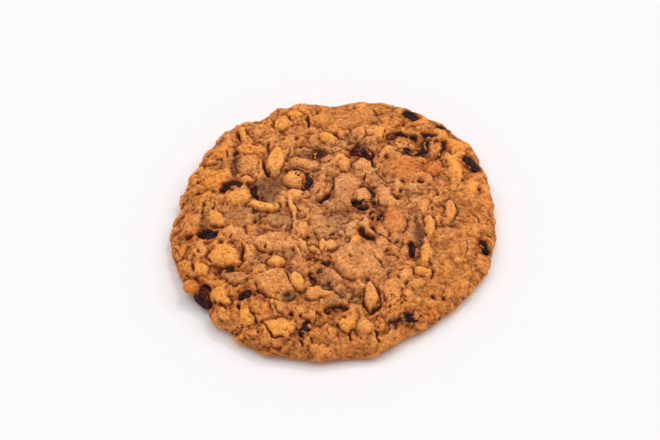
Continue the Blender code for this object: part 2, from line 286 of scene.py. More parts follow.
# Cracks and creases: width, depth, and the points that they run through
Crack = namedtuple("Crack", "width depth route")
CRACKS = [
    (1.3, 2.2, [(-20.3, 19.2), (-19.9, 16.6), (-19.4, 13.2)]),
    (0.7, 1.2, [(-22.4, 13.6), (-23.0, 11.6), (-23.9, 10.2)]),
    (0.9, 1.6, [(-37.6, 4.6), (-37.1, 2.2), (-36.9, -0.6)]),
    (0.6, 1.2, [(-34.4, 4.2), (-33.9, 1.6), (-33.0, 0.3)]),
    (0.5, 0.8, [(-42.0, 6.2), (-40.8, 4.2)]),
    (1.1, 2.0, [(-25.0, -10.8), (-24.8, -13.2), (-25.1, -16.4), (-26.8, -18.8)]),
    (0.7, 1.2, [(-38.4, -15.4), (-37.6, -16.8), (-37.6, -18.6)]),
    (0.8, 1.6, [(-21.4, -2.4), (-21.8, -4.8)]),
    (0.5, 0.9, [(-20.8, -6.0), (-18.8, -6.6), (-15.4, -7.4), (-12.2, -6.2)]),
    (0.6, 1.1, [(-15.9, 4.2), (-14.8, 2.6), (-14.2, 1.2)]),
    (0.5, 0.9, [(-16.6, -0.6), (-15.4, -1.0)]),
    (0.6, 1.1, [(-19.1, -12.6), (-18.0, -12.0)]),
    (0.5, 0.8, [(-13.0, 24.2), (-12.9, 21.0), (-13.8, 17.4)]),
    (0.6, 1.0, [(-18.4, 26.2), (-18.8, 23.0), (-19.6, 20.4)]),
    (1.0, 1.8, [(-7.9, 36.6), (-7.5, 34.2), (-7.6, 31.6)]),
    (0.6, 1.0, [(-8.2, 29.0), (-6.4, 28.4)]),
    (0.6, 1.1, [(-13.4, 36.0), (-11.6, 33.4)]),
    (0.8, 1.4, [(-27.6, 32.0), (-27.3, 29.4), (-26.4, 26.2)]),
    (0.6, 1.0, [(-31.2, 23.0), (-30.6, 20.2)]),
    (0.7, 1.0, [(-18.4, 36.4), (-17.8, 34.4), (-18.2, 31.4)]),
    (0.8, 1.4, [(-0.2, 29.8), (0.8, 28.0), (2.2, 27.0)]),
    (0.6, 1.0, [(0.2, 24.6), (1.6, 23.2), (4.8, 22.4)]),
    (0.6, 1.0, [(10.2, 38.8), (11.2, 37.4), (12.2, 36.0)]),
    (0.8, 1.2, [(5.4, 41.0), (6.2, 39.6)]),
    (0.6, 1.0, [(8.2, 30.6), (8.8, 28.0), (8.0, 25.8)]),
    (0.7, 1.2, [(13.4, 26.4), (14.0, 29.0)]),
    (0.8, 1.3, [(9.9, 19.4), (10.8, 17.6), (11.4, 15.2)]),
    (0.8, 1.2, [(12.4, 20.2), (12.2, 18.4)]),
    (0.7, 1.3, [(8.6, 13.8), (8.0, 12.2), (8.0, 11.2)]),
    (0.7, 1.2, [(9.0, 10.8), (10.0, 10.0)]),
    (0.7, 1.3, [(0.0, 12.0), (-0.6, 9.8), (-1.7, 7.6), (-2.4, 5.8)]),
    (0.5, 0.9, [(-4.4, 8.0), (-5.2, 5.0)]),
    (0.6, 1.0, [(-10.2, 3.8), (-8.0, 4.2), (-6.4, 4.6)]),
    (0.6, 1.1, [(-7.4, -0.4), (-6.4, 0.8)]),
    (0.7, 1.2, [(-10.4, -3.0), (-8.8, -2.6), (-8.0, -1.2)]),
    (0.6, 1.0, [(-8.0, -13.6), (-6.8, -12.0), (-6.6, -10.0)]),
    (0.5, 0.9, [(5.0, -2.8), (6.4, -3.8)]),
    (0.6, 1.1, [(10.4, -4.4), (11.6, -7.6), (13.8, -9.8), (16.6, -11.2)]),
    (0.6, 1.0, [(4.0, -17.0), (3.8, -15.6)]),
    (0.5, 0.8, [(10.2, -14.6), (11.6, -17.4), (13.0, -19.4)]),
    (0.5, 0.9, [(15.4, 6.6), (17.6, 6.0), (18.2, 5.2)]),
    (0.5, 0.9, [(11.4, 14.8), (12.2, 12.4), (14.0, 10.6), (16.6, 10.2)]),
    (0.5, 0.8, [(13.4, 13.6), (14.4, 11.8)]),
    (1.3, 1.4, [(22.8, 10.6), (24.4, 10.4)]),
    (0.6, 1.0, [(25.6, 8.8), (27.6, 8.0), (28.2, 5.8)]),
    (0.8, 1.4, [(30.6, 8.2), (31.8, 7.6)]),
    (0.7, 1.3, [(32.8, 7.4), (33.8, 7.0)]),
    (0.6, 1.1, [(35.0, 13.2), (36.0, 12.6)]),
    (0.6, 1.0, [(32.4, 4.6), (33.6, 2.6), (33.8, -1.2)]),
    (0.7, 1.4, [(30.6, -4.2), (31.6, -4.6), (33.0, -4.2)]),
    (0.4, 0.7, [(33.6, -2.9), (35.0, -2.6), (36.4, -3.0)]),
    (0.9, 1.4, [(38.4, -0.1), (39.2, -0.5), (40.4, -2.8)]),
    (0.5, 0.9, [(25.7, 1.2), (25.8, 0.4)]),
    (0.5, 0.9, [(26.8, 1.3), (27.1, 0.5)]),
    (0.5, 0.9, [(20.6, 5.6), (20.9, 3.4)]),
    (0.5, 1.0, [(35.9, -9.0), (36.2, -11.4), (36.2, -13.8)]),
    (0.5, 0.8, [(26.6, -15.6), (27.2, -18.2)]),
    (0.7, 1.3, [(21.8, -20.8), (22.0, -22.8)]),
    (0.7, 1.1, [(27.4, -19.4), (27.6, -21.6), (26.8, -23.0)]),
    (0.9, 1.5, [(18.9, -25.4), (20.8, -24.4)]),
    (0.5, 0.9, [(19.0, -27.0), (19.4, -28.8), (20.0, -30.2)]),
    (0.7, 1.0, [(18.4, -32.6), (19.2, -32.2)]),
    (0.9, 1.5, [(8.0, -32.8), (9.4, -33.6), (11.8, -32.6), (12.4, -31.4)]),
    (0.8, 1.2, [(11.6, -26.0), (11.8, -29.0), (11.8, -31.6)]),
    (0.6, 1.0, [(7.2, -26.0), (7.3, -29.4), (7.6, -32.0)]),
    (0.8, 1.4, [(4.8, -38.2), (4.2, -39.2), (4.9, -41.2)]),
    (0.9, 1.2, [(0.8, -36.8), (1.4, -38.0)]),
    (0.8, 1.2, [(10.0, -38.0), (11.0, -40.0), (12.0, -42.0)]),
    (0.7, 1.1, [(-9.2, -40.6), (-8.8, -42.8)]),
    (0.5, 0.8, [(-6.2, -39.8), (-5.2, -42.0)]),
    (0.8, 1.4, [(-18.0, -34.6), (-17.4, -36.8), (-16.0, -38.6), (-13.2, -39.4)]),
    (0.8, 1.4, [(-11.6, -32.4), (-10.8, -33.8)]),
    (0.8, 1.4, [(-8.9, -34.4), (-7.8, -33.4)]),
    (0.6, 1.2, [(-20.9, -24.4), (-20.0, -26.6), (-17.4, -27.8), (-13.8, -28.6)]),
    (0.7, 1.2, [(-22.4, -30.6), (-20.2, -33.0), (-19.3, -36.2)]),
    (0.6, 1.0, [(-19.8, -37.0), (-20.2, -38.0)]),
    (0.8, 1.5, [(-25.4, -29.4), (-25.0, -31.6)]),
    (0.6, 1.0, [(-31.0, -29.2), (-28.6, -29.5), (-27.7, -31.4)]),
    (0.6, 1.1, [(-30.0, -23.8), (-27.0, -24.2), (-23.8, -23.6)]),
    (0.6, 1.0, [(-19.0, -16.4), (-18.2, -18.4), (-16.4, -19.8)]),
    (0.6, 1.0, [(-13.4, -20.4), (-12.4, -21.6), (-11.4, -24.4)]),
    (0.8, 1.3, [(-3.0, -14.9), (-1.2, -15.8), (-0.6, -17.0)]),
    (0.5, 0.9, [(-36.8, -11.6), (-35.8, -13.2)]),
    (0.5, 0.9, [(-33.6, -14.6), (-32.8, -16.4)]),
]

# Small deep holes: middle and radius
PITS = [
    (-9.7, 24.0, 0.7),
    (-11.2, 27.0, 0.7),
    (-28.1, -8.6, 0.5),
    (-30.6, -10.4, 0.6),
    (-19.0, -2.4, 0.5),
    (-39.0, 8.0, 0.6),
    (-37.6, 7.4, 0.5),
    (17.4, 5.4, 0.8),
    (27.8, -29.0, 0.6),
    (31.0, -28.8, 0.6),
    (-3.0, 17.8, 0.5),
    (-1.9, 18.4, 0.6),
    (6.8, 24.6, 0.5),
    (-17.4, -14.2, 0.4),
    (-12.6, -20.8, 0.5),
    (-3.1, -37.2, 0.4),
    (14.2, 19.2, 0.6),
    (39.8, 9.8, 0.6),
]

# Patches of another colour: middle, length, width, turn, and one of HUES with its strength.
# The taupe patches laid over the hollows darken and grey them: painted shade.
Patch = namedtuple("Patch", "x y length width turn hue strength")
PATCHES = [
    (19.0, 15.6, 15.0, 9.5, -12, "russet", 0.85),
    (26.4, 15.0, 7.0, 8.0, 0, "russet", 0.8),
    (16.2, -2.6, 8.0, 12.0, 0, "russet", 0.55),
    (18.0, -16.0, 4.0, 7.0, 10, "russet", 0.8),
    (26.6, -33.0, 5.0, 4.0, 0, "russet", 0.7),
    (-34.2, 23.4, 5.0, 4.0, 0, "russet", 0.7),
    (12.8, -37.0, 4.0, 7.0, 0, "russet", 0.5),
    (3.0, -29.0, 10.0, 8.0, 0, "taupe", 0.6),
    (-18.4, 8.6, 9.0, 11.0, 0, "taupe", 0.95),
    (-28.4, 18.0, 5.0, 11.0, 0, "taupe", 0.8),
    (-6.0, 21.8, 10.0, 7.0, 0, "taupe", 0.7),
    (22.8, -8.0, 4.6, 10.0, 0, "taupe", 0.95),
    (21.6, -2.6, 5.0, 5.0, 0, "taupe", 0.5),
    (-2.2, -23.6, 5.0, 9.0, 15, "taupe", 1.0),
    (-5.0, -8.4, 5.0, 6.0, 0, "taupe", 0.6),
    (-21.2, -16.6, 5.0, 6.0, 0, "taupe", 0.6),
    (-12.0, -28.0, 7.0, 5.0, 0, "taupe", 0.7),
    (-27.0, -1.6, 10.0, 7.0, 0, "taupe", 0.45),
    (-15.6, -3.0, 12.0, 6.0, 0, "taupe", 0.4),
    (0.0, 2.0, 12.0, 22.0, 0, "taupe", 0.3),
    (8.0, 24.0, 6.0, 3.0, -10, "taupe", 0.6),
    (4.6, 25.6, 8.0, 6.0, 0, "taupe", 0.5),
    (-35.4, -2.6, 4.0, 8.0, 0, "taupe", 0.5),
    (16.6, -37.4, 5.0, 5.0, 0, "taupe", 0.7),
    (14.0, -19.4, 8.0, 4.0, 0, "taupe", 0.4),
    (18.4, 24.0, 7.0, 6.0, 0, "pale", 0.8),
    (26.8, 23.0, 5.0, 7.0, 0, "pale", 0.7),
    (16.9, 27.0, 5.0, 2.6, 10, "plum", 1.0),
    (14.6, 24.8, 1.6, 3.0, 0, "plum", 0.8),
    (21.4, 26.6, 2.6, 1.8, -30, "plum", 0.8),
    (22.2, 20.8, 6.4, 2.6, 5, "plum", 1.0),
    (24.1, 22.4, 2.0, 4.6, 0, "plum", 1.0),
    (25.8, 27.2, 4.0, 1.6, 0, "plum", 0.7),
    (29.3, 22.0, 1.6, 6.0, 5, "plum", 0.7),
    (33.0, 20.0, 8.0, 20.0, 20, "gold", 0.6),
    (-38.0, 10.0, 9.0, 24.0, 15, "gold", 0.3),
]

# Where the crust is smooth and has few flakes in it: middle, length, width and turn
SMOOTH_ZONES = [
    (32.0, -16.0, 18.0, 26.0, -10),
    (28.0, -30.0, 16.0, 10.0, 40),
    (7.0, -17.0, 16.0, 14.0, 0),
    (19.0, 15.6, 13.0, 9.0, 0),
    (4.0, 35.0, 16.0, 11.0, 0),
    (-18.4, 8.6, 9.0, 11.0, 0),
    (22.8, -8.6, 4.0, 9.0, 0),
    (4.0, -44.0, 34.0, 9.0, 0),
    (38.0, 4.0, 9.0, 24.0, 0),
    (20.0, -43.0, 20.0, 8.0, 25),
    (2.0, 45.0, 44.0, 8.0, 0),
    (4.0, 8.0, 7.0, 12.0, 0),
    (16.2, -3.0, 6.0, 10.0, 0),
]

# The flakes that fill the rest of the crust. In the smooth zones only SMOOTH_ZONE_SHARE of them lie.
FLAKE_COUNT = 1500
FLAKE_LENGTHS = (1.7, 6.4)
FLAKE_WIDTH_SHARES = (0.42, 0.8)
FLAKE_RISES = (0.2, 0.62)
SMOOTH_ZONE_SHARE = 0.12

# The crumbs, and how low on the rim and how far under it they may lie
CRUMB_COUNT = 900
CRUMB_SIZES = (0.25, 0.75)
CRUMB_LIFT = 0.02
LOWEST_CRUMB = 1.0
STEEPEST_CRUMB = -0.2

# How much of each raisin a film of dough covers, where it isn't bare
FILMS = {
    "raisin_04": 0.3,
    "raisin_05": 0.3,
    "raisin_06": 0.2,
    "raisin_07": 0.3,
    "raisin_11": 0.35,
    "raisin_12": 0.3,
    "raisin_15": 0.1,
    "raisin_16": 0.5,
    "raisin_19": 0.25,
    "raisin_20": 0.65,
    "raisin_21": 0.3,
    "raisin_22": 0.3,
}

# How red the skin of a raisin looks on its ridges, where it isn't as dark as most: partly its own red,
# partly painted highlight
REDDISH = {
    "raisin_04": 0.5,
    "raisin_05": 0.35,
    "raisin_06": 0.9,
    "raisin_07": 0.4,
    "raisin_08": 0.3,
    "raisin_16": 0.35,
    "raisin_17": 0.1,
    "raisin_18": 0.9,
    "raisin_24": 1.0,
}
# The film and the redness of the ridges, partly painted highlight, of the raisins that aren't named above
BARE_FILM = 0.04
USUAL_REDNESS = 0.15
RAISIN_DARK = rgb(18, 6, 3)
RAISIN_RED_AND_HIGHLIGHT = rgb(112, 34, 26)
RAISIN_SUBDIVISIONS = 5

# Rounds of smoothing that the crust's height is compared with, to tell crevices from hollows, for the
# painted shade and light
CLOSE_ROUNDS = 6
MIDDLE_ROUNDS = 50
WIDE_ROUNDS = 260

# The sizes of the dough's grain and specks, and of the patches on a raisin's skin
GRAIN_SIZE = 0.5
SPECK_SIZE = 1.3
SKIN_PATCH_SIZE = 1.6
GRAIN_DARK = (0.56, 0.42, 0.32, 1)
GRAIN_LIGHT = (1.0, 1.0, 1.0, 1)

FLOOR_COLOUR = (0.93, 0.93, 0.93, 1)
FILL_COLOUR = (1.0, 0.92, 0.93, 1)
FILL_STRENGTH = 0.42
# The lamps: name, bearing and elevation, strength, how wide each looks, and colour
SUNS = [
    ("key", 20, 46, 0.85, 40, (0.97, 1.0, 1.0)),
    ("glint", 60, 52, 0.35, 7, (1.0, 1.0, 1.0)),
    ("left", 165, 56, 0.55, 50, (0.97, 1.0, 1.0)),
    ("overhead", 90, 75, 0.7, 60, (0.97, 1.0, 1.0)),
]


def smooth_step(start, end, value):
    """0 before start and 1 after end, with an even turn between them."""
    share = np.clip((value - start) / (end - start), 0, 1)
    return share * share * (3 - 2 * share)


def noise_at(points, wavelength, seed):
    """Smooth noise, mostly from -0.7 to 0.7, at each of the points (an array of x, y, z)."""
    offset = np.array((seed * 17.3, seed * 5.1, seed * 9.7))
    return np.array([noise.noise(p) for p in (points / wavelength + offset).tolist()])


def section_points():
    """(radius, height) along the disc's section, from the crown over the rim to the base's edge."""
    turns = np.linspace(0, math.pi / 2, SECTION_STEPS)
    upper_radius = RIM_RADIUS * np.sin(turns) ** (2 / CROWN_FLATNESS)
    upper_height = WAIST_HEIGHT + (CROWN_HEIGHT - WAIST_HEIGHT) * np.cos(turns)
    lower_radius = BASE_RADIUS + (RIM_RADIUS - BASE_RADIUS) * np.cos(turns)
    lower_height = WAIST_HEIGHT * (1 - np.sin(turns))
    radius = np.concatenate([upper_radius, lower_radius[1:]])
    height = np.concatenate([upper_height, lower_height[1:]])
    return radius, height


SECTION_RADIUS, SECTION_HEIGHT = section_points()
SECTION_REACH = np.concatenate(
    [[0.0], np.cumsum(np.hypot(np.diff(SECTION_RADIUS), np.diff(SECTION_HEIGHT)))]
)
CRUST_REACH = float(SECTION_REACH[-1])


def section_at(reach):
    radius = np.interp(reach, SECTION_REACH, SECTION_RADIUS)
    height = np.interp(reach, SECTION_REACH, SECTION_HEIGHT)
    return radius, height


def rim_stretch(bearing, reach):
    """How much wider than a true circle the dough is at this bearing and distance from the crown."""
    bulge = np.zeros_like(bearing)
    for centre, half_width, stands_out in RIM_BULGES:
        off = (np.degrees(bearing) - centre + 180) % 360 - 180
        bulge += stands_out * np.exp(-((off / half_width) ** 2))
    return 1 + bulge / RIM_RADIUS * smooth_step(BULGE_STARTS_AT, BULGE_FULL_AT, reach)


def crust_frame(x, y):
    """(points, outward normals, heights) of the smooth crust at places on its map."""
    reach = np.hypot(x, y)
    bearing = np.arctan2(y, x)
    radius, height = section_at(reach)
    before = section_at(np.maximum(0.0, reach - 0.5))
    after = section_at(np.minimum(CRUST_REACH, reach + 0.5))
    run, fall = after[0] - before[0], before[1] - after[1]
    size = np.hypot(run, fall)
    stretched = radius * rim_stretch(bearing, reach)
    points = np.stack([stretched * np.cos(bearing), stretched * np.sin(bearing), height], axis=-1)
    outward = fall / size
    normals = np.stack([outward * np.cos(bearing), outward * np.sin(bearing), run / size], axis=-1)
    return points, normals, height


def disc_map(rings, radius):
    """Points of a flat disc, ring by ring, with 6 more points on each ring than on the last."""
    places = [(0.0, 0.0)]
    for ring in range(1, rings + 1):
        reach = radius * ring / rings
        for step in range(6 * ring):
            turn = math.tau * step / (6 * ring)
            places.append((reach * math.cos(turn), reach * math.sin(turn)))
    return np.array(places)


def stitch(inner, outer):
    """Triangles between two rings of point numbers, which may differ in how many they hold."""
    faces = []
    i = j = 0
    while i < len(inner) or j < len(outer):
        a, b = inner[i % len(inner)], outer[j % len(outer)]
        outer_next = (j + 1) * len(inner) <= (i + 1) * len(outer)
        if outer_next and j < len(outer) or i >= len(inner):
            faces.append((a, b, outer[(j + 1) % len(outer)]))
            j += 1
        else:
            faces.append((a, b, inner[(i + 1) % len(inner)]))
            i += 1
    return faces


def ring_numbers(ring, start=0):
    """The point numbers of one ring of disc_map, when its first point has the number start."""
    first = start + 1 + 3 * ring * (ring - 1)
    return list(range(first, first + 6 * ring))


def disc_faces(rings, start=0):
    centre = start
    first = ring_numbers(1, start)
    faces = [(centre, first[k], first[(k + 1) % 6]) for k in range(6)]
    for ring in range(1, rings):
        faces += stitch(ring_numbers(ring, start), ring_numbers(ring + 1, start))
    return faces


def in_ellipse(x, y, cx, cy, length, width, turn):
    """0 at the middle of a turned ellipse, 1 on its edge and more outside it, and the two offsets."""
    turn = math.radians(turn)
    along = (x - cx) * math.cos(turn) + (y - cy) * math.sin(turn)
    across = (y - cy) * math.cos(turn) - (x - cx) * math.sin(turn)
    return np.hypot(2 * along / length, 2 * across / width), along, across


def soft_max(low, high, blend):
    """The higher of two heights, rounded off where they are within blend of each other."""
    share = np.clip(0.5 + 0.5 * (high - low) / blend, 0, 1)
    return low + (high - low) * share + blend * share * (1 - share) * 0.5, share


def lump_profile(kind, edge, across, width):
    """The shape of a lump: 1 in its middle, 0 at its edge and falling on outside it."""
    if kind == "dome":
        return 1 - edge**2.4
    if kind == "slab":
        return 1 - edge**5
    crease = 0.22 * np.exp(-((across / (0.1 * width)) ** 2)) * smooth_step(0.95, 0.7, edge)
    rim = 0.14 * np.exp(-(((edge - 0.8) / 0.12) ** 2))
    return 1 - edge**7 + rim - crease


def distance_to_route(x, y, route):
    """(distance, share of the way along) from places to the nearest point of a line of points."""
    route = np.array(route, dtype=float)
    nearest = np.full(len(x), 99.0)
    along = np.zeros(len(x))
    for number, ((ax, ay), (bx, by)) in enumerate(zip(route[:-1], route[1:])):
        run = np.array((bx - ax, by - ay))
        share = np.clip(((x - ax) * run[0] + (y - ay) * run[1]) / (run @ run), 0, 1)
        gap = np.hypot(x - ax - share * run[0], y - ay - share * run[1])
        closer = gap < nearest
        nearest = np.where(closer, gap, nearest)
        along = np.where(closer, (number + share) / (len(route) - 1), along)
    return nearest, along


class Crust:
    """The crust's height and colour at each point of its map."""

    def __init__(self, places):
        self.x, self.y = places[:, 0], places[:, 1]
        flat = np.column_stack([self.x, self.y, np.zeros(len(places))])
        self.wobble_x = 0.7 * noise_at(flat, 1.7, 1) + 1.1 * noise_at(flat, 4.0, 2)
        self.wobble_y = 0.7 * noise_at(flat, 1.7, 3) + 1.1 * noise_at(flat, 4.0, 4)
        self.fine = noise_at(flat, 0.8, 5)
        self.grain = noise_at(flat, 1.5, 6)
        self.swell = 0.6 * noise_at(flat, 12.0, 7) + 0.8 * noise_at(flat, 5.0, 8)
        self.tint = noise_at(flat, 3.4, 9)
        self.fleck = noise_at(flat, 1.2, 14)
        warped = flat + 0.8 * np.column_stack([self.wobble_x, self.wobble_y, 0 * self.x])
        self.squiggle = noise_at(warped, 1.5, 10)
        self.squiggle_fine = noise_at(warped, 0.95, 11)
        self.roughness = noise_at(flat, 6.0, 12)
        self.height = self.swell + 0.25 * self.grain + 0.45 * noise_at(flat, 2.7, 13)
        self.ground = self.swell.copy()
        self.tone = 0.3 * self.tint
        # Painted shade round the raisins' pockets
        self.pocket_shade = np.zeros(len(places))
        self.hue_shares = {name: np.zeros(len(places)) for name in HUES}
        points, self.normals, _ = crust_frame(self.x, self.y)
        self.points = points

    def near(self, cx, cy, radius):
        return np.nonzero((np.abs(self.x - cx) < radius) & (np.abs(self.y - cy) < radius))[0]

    def ragged(self, near, strength=1.0):
        return self.x[near] + strength * self.wobble_x[near], self.y[near] + strength * self.wobble_y[near]

    def add_lump(self, lump, tilt=(0.0, 0.0), raggedness=0.5, blend=0.16, hue_share=0.35):
        """Sets a lump into the ground, which closes round it, with a crevice under its high edges."""
        near = self.near(lump.x, lump.y, 0.75 * lump.length + 1.5)
        x, y = self.ragged(near, raggedness)
        edge, along, across = in_ellipse(x, y, lump.x, lump.y, lump.length, lump.width, lump.turn)
        inside = edge < 1.6
        near, edge, along, across = near[inside], edge[inside], along[inside], across[inside]
        if len(near) == 0:
            return
        ground = 0.5 * np.mean(self.ground[near]) + 0.5 * self.ground[near]
        slope = tilt[0] * along + tilt[1] * across
        shape = lump_profile(lump.kind, np.minimum(edge, 1.5), across, lump.width)
        top = ground + lump.rise * np.maximum(shape, -1.5) + slope
        stands = ground + 0.4 * lump.rise + slope - self.height[near]
        gap = (edge - 1.07) * lump.width / 2
        groove = smooth_step(0.1, 0.5, stands) * np.exp(-((gap / 0.25) ** 2)) * (edge > 0.98)
        height, share = soft_max(self.height[near], top, blend)
        self.height[near] = height - 0.35 * groove
        share = share * (edge < 1.05)
        self.tone[near] += (lump.tone + 0.3 * self.tint[near] - self.tone[near]) * share
        for name, amount in self.hue_shares.items():
            amount[near] += ((hue_share if name == lump.hue else 0.0) - amount[near]) * share

    def sink(self, places, depth):
        self.height[places] -= depth

    def add_hollow(self, hollow):
        near = self.near(hollow.x, hollow.y, max(hollow.length, hollow.width))
        x, y = self.ragged(near, 0.6)
        edge = in_ellipse(x, y, hollow.x, hollow.y, hollow.length, hollow.width, hollow.turn)[0]
        bowl = 1 - smooth_step(0.5, 1.15, edge)
        floor = self.swell[near] - hollow.depth + 0.1 * self.grain[near]
        self.height[near] += (floor - self.height[near]) * bowl
        self.ground[near] += (floor - self.ground[near]) * bowl

    def add_crack(self, crack):
        """A crack that is widest and deepest in its middle and tapers to its ends."""
        route = np.array(crack.route, dtype=float)
        middle = route.mean(axis=0)
        reach = np.hypot(*(route - middle).T).max() + 2.0
        near = self.near(middle[0], middle[1], reach)
        x, y = self.ragged(near, 0.8)
        nearest, along = distance_to_route(x, y, route)
        taper = 0.35 + 0.65 * np.sqrt(np.clip(4 * along * (1 - along), 0, 1))
        width = 0.38 * crack.width * taper * (1 + 0.9 * self.squiggle[near])
        self.sink(near, crack.depth * taper * np.exp(-((nearest / width) ** 2)))
        lip = np.exp(-(((nearest - 2.4 * width) / width) ** 2))
        self.height[near] += 0.12 * taper * lip

    def add_pit(self, x, y, radius):
        near = self.near(x, y, 4 * radius)
        gap = np.hypot(*(np.array(self.ragged(near, 0.4)) - np.array([[x], [y]])))
        self.sink(near, 1.7 * radius * np.exp(-((gap / radius) ** 2)))

    def add_patch(self, patch):
        near = self.near(patch.x, patch.y, max(patch.length, patch.width))
        x, y = self.ragged(near, 1.0)
        edge = in_ellipse(x, y, patch.x, patch.y, patch.length, patch.width, patch.turn)[0]
        share = patch.strength * (1 - smooth_step(0.35, 1.25, edge)) * (1 + 0.5 * self.tint[near])
        share = np.clip(share, 0, 1)
        for name, amount in self.hue_shares.items():
            amount[near] = amount[near] * (1 - share) + (share if name == patch.hue else 0)

    def raisin_top(self, near, seat):
        """How far above the smooth crust the raisin's surface is, or NO_RAISIN where there's none of it."""
        offset = (self.points[near] - seat.middle) @ seat.directions.T / seat.half_sizes
        rise = self.normals[near] @ seat.directions.T / seat.half_sizes
        a = (rise * rise).sum(axis=1)
        b = (offset * rise).sum(axis=1)
        c = (offset * offset).sum(axis=1) - 1
        under = b * b - a * c
        top = (np.sqrt(np.maximum(under, 0)) - b) / a
        return np.where(under > 0, top, NO_RAISIN)

    def cover_raisin(self, seat, x, y):
        """Lays a knobbly coat of dough over a raisin."""
        near = self.near(x, y, RAISIN_REACH)
        top = self.raisin_top(near, seat)
        knobs = 0.45 * self.grain[near] + 0.35 * self.wobble_x[near]
        knobs = knobs - 0.4 * np.exp(-((self.squiggle[near] / 0.12) ** 2))
        coat = np.where(top > -1.0, top + DOUGH_OVER_RAISIN + knobs, top)
        self.height[near] = soft_max(self.height[near], coat, 0.4)[0]

    def open_raisin(self, seat, opening):
        """Cuts the dough away over part of a raisin, and darkens the dough round the cut with painted
        shade.
        """
        middle = np.mean(opening.route, axis=0)
        near = self.near(middle[0], middle[1], RAISIN_REACH)
        x, y = self.ragged(near, 0.75)
        gap, _ = distance_to_route(x, y, opening.route)
        edge = gap / (0.5 * opening.width)
        top = np.maximum(self.raisin_top(near, seat), LOWEST_FLOOR)
        share = 1 - smooth_step(0.85, 1.2, edge)
        floor = np.minimum(self.height[near], top - OPENING_DEPTH)
        self.height[near] += (floor - self.height[near]) * share
        # Painted shade round the raisin's pocket, fading away from the cut
        pocket_shade = 1 - smooth_step(-0.4, 1.9, gap - 0.5 * opening.width)
        pocket_shade = pocket_shade * (0.9 + 0.7 * self.tint[near])
        self.pocket_shade[near] = np.maximum(self.pocket_shade[near], pocket_shade)

    def soften(self, edges):
        """Rounds off the steps between flakes, most of all in the smooth zones."""
        softer = neighbour_smoothing(self.height, edges, 1)
        softest = neighbour_smoothing(softer, edges, 12)
        share = 0.8 * smoothness(self.x + self.wobble_x, self.y + self.wobble_y)
        self.height = softer * (1 - share) + softest * share

    def add_squiggles(self):
        """Fine winding creases, deepest where the crust is rough."""
        smooth = smoothness(self.x, self.y)
        rough = np.clip(0.5 + 1.1 * self.roughness, 0.1, 1) * (1 - 0.7 * smooth)
        for field, half_width, depth in ((self.squiggle, 0.07, 0.42), (self.squiggle_fine, 0.09, 0.26)):
            crease = np.exp(-((field / half_width) ** 2))
            broken = smooth_step(-0.25, 0.25, self.grain + 0.6 * self.tint)
            self.height -= depth * crease * broken * rough
        self.height += 0.12 * self.fine + 0.06 * self.grain


def smoothness(x, y):
    """1 in the crust's smooth zones, where few flakes show, and 0 elsewhere."""
    amount = np.zeros(np.shape(x))
    for cx, cy, length, width, turn in SMOOTH_ZONES:
        edge = in_ellipse(x, y, cx, cy, length, width, turn)[0]
        amount = np.maximum(amount, 1 - smooth_step(0.7, 1.15, edge))
    return amount


def scatter_flakes(crust):
    """Lays flakes all over the crust, small ones last, with fewer where it is smooth."""
    picker = random.Random(5)
    flakes = []
    for number in range(FLAKE_COUNT):
        reach = (CRUST_REACH - 1) * math.sqrt(picker.random())
        bearing = picker.uniform(0, math.tau)
        x, y = reach * math.cos(bearing), reach * math.sin(bearing)
        size = picker.random() ** 1.6
        if picker.random() < smoothness(x, y) * (1 - SMOOTH_ZONE_SHARE):
            continue
        length = FLAKE_LENGTHS[0] + (FLAKE_LENGTHS[1] - FLAKE_LENGTHS[0]) * size
        width = length * picker.uniform(*FLAKE_WIDTH_SHARES)
        rise = picker.uniform(*FLAKE_RISES) * (0.7 + 0.5 * size)
        tilt = (picker.gauss(0, 0.1), picker.gauss(0, 0.2))
        kind = picker.choice(("dome", "dome", "flake", "slab"))
        hue = picker.choice(("gold", "pale", "taupe", "crust", "crust", "crust"))
        turn = picker.uniform(0, 180)
        lump = Lump(x, y, length, width, turn, rise, kind, picker.gauss(0.05, 0.2), hue)
        flakes.append((lump, tilt, picker.uniform(0.08, 0.45)))
    flakes.sort(key=lambda item: -item[0].length)
    for lump, tilt, blend in flakes:
        crust.add_lump(lump, tilt, blend=blend)


class RaisinSeat:
    """A raisin node's middle and its three half sizes and directions, read from its mesh."""

    def __init__(self, node):
        mesh = node.data
        points = np.empty(len(mesh.vertices) * 3)
        mesh.vertices.foreach_get("co", points)
        points = points.reshape(-1, 3) / MM
        self.name = node.name
        self.middle = points.mean(axis=0)
        _, _, directions = np.linalg.svd(points - self.middle, full_matrices=False)
        if np.linalg.det(directions) < 0:
            directions[2] *= -1
        self.directions = directions
        self.half_sizes = np.abs((points - self.middle) @ directions.T).max(axis=0)


def neighbour_smoothing(values, edges, rounds):
    """Each point's value averaged with its neighbours' this many times."""
    counts = np.bincount(edges.ravel(), minlength=len(values))
    for _ in range(rounds):
        total = np.bincount(edges[:, 0], values[edges[:, 1]], len(values))
        total += np.bincount(edges[:, 1], values[edges[:, 0]], len(values))
        values = 0.5 * values + 0.5 * total / counts
    return values


